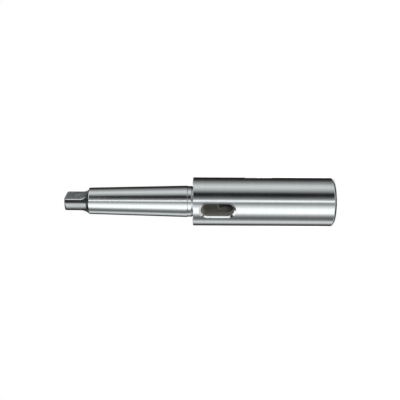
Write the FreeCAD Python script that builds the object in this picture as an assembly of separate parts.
import FreeCAD, Part
import math
import os

# Taper extension sleeve, turned, milled and ground from one bar: a taper socket at one end,
# and at the other a taper shank of the same size with its driving tang. A drift slot through
# the body lets a wedge knock out the tool that is held in the socket.
#
# Millimetres. It stands on its socket end: the origin is the centre of the mouth face, +Z runs
# up the axis to the tang, the drift slot goes through along Y and the tang's flats face +X and -X.

# --- Driving dimensions ---------------------------------------------------------------------

# The self-holding taper, size 4, which the socket and the shank share.
GAUGE_DIA = 31.267           # diameter at the gauge plane
TAPER_RATE = 1.0 / 19.254    # change of diameter for each millimetre along the axis

# Body: the large cylinder that holds the socket.
BODY_DIA = 48.0
BODY_WEB = 7.6               # solid metal between the drift slot and the edge of the shoulder
MOUTH_CHAMFER_LENGTH = 2.0   # along the axis, at the mouth end of the body
MOUTH_CHAMFER_DEPTH = 2.5    # across it, on the radius
SHOULDER_ANGLE = 9.0         # degrees that the shoulder's shallow cone slopes from square
SHOULDER_ROOT_RADIUS = 0.8   # fillet from the shoulder down into the relief groove

# Relief groove for the grinding wheel, between the shoulder and the taper.
NECK_LENGTH = 6.1            # edge of the shoulder to the start of the taper
GROOVE_DEPTH = 0.4           # below the large end of the taper, on the radius
GROOVE_RAMP = 1.0            # length of the ramp from the groove up to the taper

# Shank: the outside taper. The socket takes a shank of this same length.
SHANK_LENGTH = 117.5         # gauge plane to the end of the tang
SHANK_LEAD = 2.8             # length of taper between the groove and the gauge plane

# Tang: turned down at the end of the taper, then milled to two flats.
TANG_LENGTH = 24.0           # small end of the taper to the end of the tang
TANG_STEP_DEPTH = 0.95       # the turned tang is this much below the taper, on the radius
TANG_STEP_LENGTH = 2.2       # length of the cone from the taper's small end to the tang
TANG_THICKNESS = 11.9        # across the two flats
TANG_CUTTER_RADIUS = 8.0     # the milling cutter leaves this radius as the flats' run-out
TANG_CUTTER_STOP = 0.3       # the cutter stops this far short of the taper's small end
TANG_TIP_RADIUS = 2.5

# Centre hole in the end of the tang, for grinding between centres.
CENTRE_PILOT_DIA = 3.15
CENTRE_MOUTH_DIA = 6.7
CENTRE_CONE_ANGLE = 60.0     # included angle, in degrees
CENTRE_PILOT_LENGTH = 4.0    # end of the cone to the start of the drill point
DRILL_POINT_ANGLE = 118.0    # included angle, in degrees

# Drift slot: passes the tang of the tool held in the socket, and the wedge that knocks it out.
TANG_CLEARANCE = 0.3         # slot width over tang thickness
SLOT_LENGTH = 32.0           # over its two full-round ends
WEDGE_ROOM = 13.5            # end of the held tool's tang to the far end of the slot
SLOT_EDGE_BREAK = 1.8        # chamfer round the slot's outer edge

# Socket: the inside taper, then a straight bore, at its small end's diameter, with a flat end.
SOCKET_BORE_LENGTH = 11.6    # the straight part
SOCKET_PAST_SLOT = 14.0      # near end of the slot to the flat end of the bore
SOCKET_MOUTH_BREAK = 1.0     # 45 degree countersink at the mouth
SOCKET_END_BREAK = 0.5       # chamfer where the drift slot's walls meet the flat end

# --- Sizes worked out from them -------------------------------------------------------------

BODY_RADIUS = BODY_DIA / 2
SLOT_WIDTH = TANG_THICKNESS + TANG_CLEARANCE
SLOT_END = SHANK_LENGTH + WEDGE_ROOM
SLOT_START = SLOT_END - SLOT_LENGTH
SOCKET_DEPTH = SLOT_START + SOCKET_PAST_SLOT
SHOULDER_EDGE = SLOT_END + BODY_WEB
TAPER_START = SHOULDER_EDGE + NECK_LENGTH
GAUGE_PLANE = TAPER_START + SHANK_LEAD
TANG_END = GAUGE_PLANE + SHANK_LENGTH
TAPER_END = TANG_END - TANG_LENGTH
OVERCUT = 5.0                # how far a cutting solid reaches past the surface it opens
TOLERANCE = 0.01             # for telling whether a point lies on a surface


def shank_radius(z):
    """Radius of the shank's taper at height z."""
    return (GAUGE_DIA - (z - GAUGE_PLANE) * TAPER_RATE) / 2


def socket_radius(z):
    """Radius of the socket's taper at height z: its gauge plane is the mouth face."""
    return (GAUGE_DIA - z * TAPER_RATE) / 2


def point(radius, z):
    """A point of a turned profile, in the XZ plane."""
    return FreeCAD.Vector(radius, 0, z)


def line(start, end):
    return Part.LineSegment(start, end).toShape()


def arc(start, middle, end):
    return Part.Arc(start, middle, end).toShape()


def outline(corners):
    """Straight edges through the corners, in order."""
    return [line(a, b) for a, b in zip(corners, corners[1:])]


def turned(edges):
    """The solid that a closed profile sweeps in one full turn about the axis."""
    profile = Part.Face(Part.Wire(edges))
    return profile.revolve(FreeCAD.Vector(0, 0, 0), FreeCAD.Vector(0, 0, 1), 360)


def shoulder_fillet(groove_r):
    """The fillet from the shoulder's cone to the groove: its two ends and its middle."""
    slope = math.radians(SHOULDER_ANGLE)
    radius = SHOULDER_ROOT_RADIUS
    centre_r = groove_r + radius
    cone_z = SHOULDER_EDGE + (BODY_RADIUS - centre_r) * math.tan(slope)
    centre_z = cone_z + radius / math.cos(slope)

    def on_fillet(angle):
        return point(centre_r - radius * math.cos(angle), centre_z - radius * math.sin(angle))

    cone_touch = math.pi / 2 - slope
    return on_fillet(cone_touch), on_fillet(cone_touch / 2), on_fillet(0)


def turned_blank():
    """The outside, as it leaves the lathe and the grinding machine."""
    groove_r = shank_radius(TAPER_START) - GROOVE_DEPTH
    tang_r = shank_radius(TAPER_END) - TANG_STEP_DEPTH
    tip_r = TANG_TIP_RADIUS
    diagonal = tip_r * math.sqrt(0.5)
    cone_touch, fillet_middle, groove_touch = shoulder_fillet(groove_r)
    tip_start = point(tang_r, TANG_END - tip_r)
    tip_middle = point(tang_r - tip_r + diagonal, TANG_END - tip_r + diagonal)
    tip_end = point(tang_r - tip_r, TANG_END)

    edges = outline([
        point(0, 0),
        point(BODY_RADIUS - MOUTH_CHAMFER_DEPTH, 0),
        point(BODY_RADIUS, MOUTH_CHAMFER_LENGTH),
        point(BODY_RADIUS, SHOULDER_EDGE),
        cone_touch,
    ])
    edges.append(arc(cone_touch, fillet_middle, groove_touch))
    edges += outline([
        groove_touch,
        point(groove_r, TAPER_START - GROOVE_RAMP),
        point(shank_radius(TAPER_START), TAPER_START),
        point(shank_radius(TAPER_END), TAPER_END),
        point(tang_r, TAPER_END + TANG_STEP_LENGTH),
        tip_start,
    ])
    edges.append(arc(tip_start, tip_middle, tip_end))
    edges += outline([tip_end, point(0, TANG_END), point(0, 0)])
    return turned(edges)


def socket():
    """The inside: countersunk mouth, taper, and straight bore with a flat end."""
    mouth_r = socket_radius(SOCKET_MOUTH_BREAK)
    taper_end = SOCKET_DEPTH - SOCKET_BORE_LENGTH
    bore_r = socket_radius(taper_end)
    return turned(outline([
        point(0, -OVERCUT),
        point(mouth_r + SOCKET_MOUTH_BREAK + OVERCUT, -OVERCUT),
        point(mouth_r, SOCKET_MOUTH_BREAK),
        point(bore_r, taper_end),
        point(bore_r, SOCKET_DEPTH),
        point(0, SOCKET_DEPTH),
        point(0, -OVERCUT),
    ]))


def centre_hole():
    """A centre drill's hole in the end of the tang: 60 degree cone, pilot and drill point."""
    mouth_r = CENTRE_MOUTH_DIA / 2
    pilot_r = CENTRE_PILOT_DIA / 2
    cone_slope = math.tan(math.radians(CENTRE_CONE_ANGLE / 2))
    cone_end = TANG_END - (mouth_r - pilot_r) / cone_slope
    pilot_end = cone_end - CENTRE_PILOT_LENGTH
    point_end = pilot_end - pilot_r / math.tan(math.radians(DRILL_POINT_ANGLE / 2))
    return turned(outline([
        point(0, TANG_END + OVERCUT),
        point(mouth_r + OVERCUT * cone_slope, TANG_END + OVERCUT),
        point(pilot_r, cone_end),
        point(pilot_r, pilot_end),
        point(0, point_end),
        point(0, TANG_END + OVERCUT),
    ]))


def tang_cutter(side):
    """What the milling cutter takes off one side of the tang, with its round run-out."""
    flat = TANG_THICKNESS / 2
    radius = TANG_CUTTER_RADIUS
    run_out = TAPER_END + TANG_CUTTER_STOP + radius
    diagonal = radius * math.sqrt(0.5)
    outer = flat + radius + BODY_RADIUS

    def at(x, z):
        return FreeCAD.Vector(side * x, -BODY_RADIUS, z)

    flat_end = at(flat, run_out)
    arc_middle = at(flat + radius - diagonal, run_out - diagonal)
    arc_end = at(flat + radius, run_out - radius)
    edges = [arc(flat_end, arc_middle, arc_end)]
    edges += outline([
        arc_end,
        at(outer, run_out - radius),
        at(outer, TANG_END + OVERCUT),
        at(flat, TANG_END + OVERCUT),
        flat_end,
    ])
    profile = Part.Face(Part.Wire(edges))
    return profile.extrude(FreeCAD.Vector(0, 2 * BODY_RADIUS, 0))


def drift_slot():
    """The slot's cutter: a flat-sided bar with full-round ends, right through along Y."""
    half = SLOT_WIDTH / 2
    reach = BODY_RADIUS + OVERCUT
    low = SLOT_START + half
    high = SLOT_END - half

    def at(x, z):
        return FreeCAD.Vector(x, -reach, z)

    profile = Part.Face(Part.Wire([
        line(at(half, low), at(half, high)),
        arc(at(half, high), at(0, SLOT_END), at(-half, high)),
        line(at(-half, high), at(-half, low)),
        arc(at(-half, low), at(0, SLOT_START), at(half, low)),
    ]))
    return profile.extrude(FreeCAD.Vector(0, 2 * reach, 0))


def edge_points(edge):
    """Both ends and the middle of an edge."""
    first, last = edge.ParameterRange
    return [edge.valueAt(t) for t in (first, (first + last) / 2, last)]


def is_slot_rim(edge):
    """True for an edge where the drift slot breaks out through the body's cylinder."""
    return all(
        abs(math.hypot(p.x, p.y) - BODY_RADIUS) < TOLERANCE
        and abs(p.x) < SLOT_WIDTH / 2 + TOLERANCE
        and SLOT_START - TOLERANCE < p.z < SLOT_END + TOLERANCE
        for p in edge_points(edge)
    )


def is_bore_end_lip(edge):
    """True for an edge where a side wall of the slot meets the flat end of the bore."""
    return all(
        abs(p.z - SOCKET_DEPTH) < TOLERANCE
        and abs(abs(p.x) - SLOT_WIDTH / 2) < TOLERANCE
        for p in edge_points(edge)
    )


def broken(solid, choose, size):
    """The solid with an equal chamfer on each edge that choose picks."""
    return solid.makeChamfer(size, [edge for edge in solid.Edges if choose(edge)])


def taper_sleeve():
    sleeve = turned_blank().cut(tang_cutter(1)).cut(tang_cutter(-1))
    sleeve = sleeve.cut(centre_hole()).cut(socket()).cut(drift_slot())
    sleeve = broken(sleeve, is_slot_rim, SLOT_EDGE_BREAK)
    sleeve = broken(sleeve, is_bore_end_lip, SOCKET_END_BREAK)
    return sleeve.Solids[0]


sleeve = taper_sleeve()
box = sleeve.BoundBox
print(f"taper_sleeve: {box.XLength:.2f} x {box.YLength:.2f} x {box.ZLength:.2f} mm, "
      f"{sleeve.Volume / 1000:.1f} cm3, valid {sleeve.isValid()}")
os.makedirs("parts", exist_ok=True)
sleeve.exportStep("parts/taper_sleeve.step")
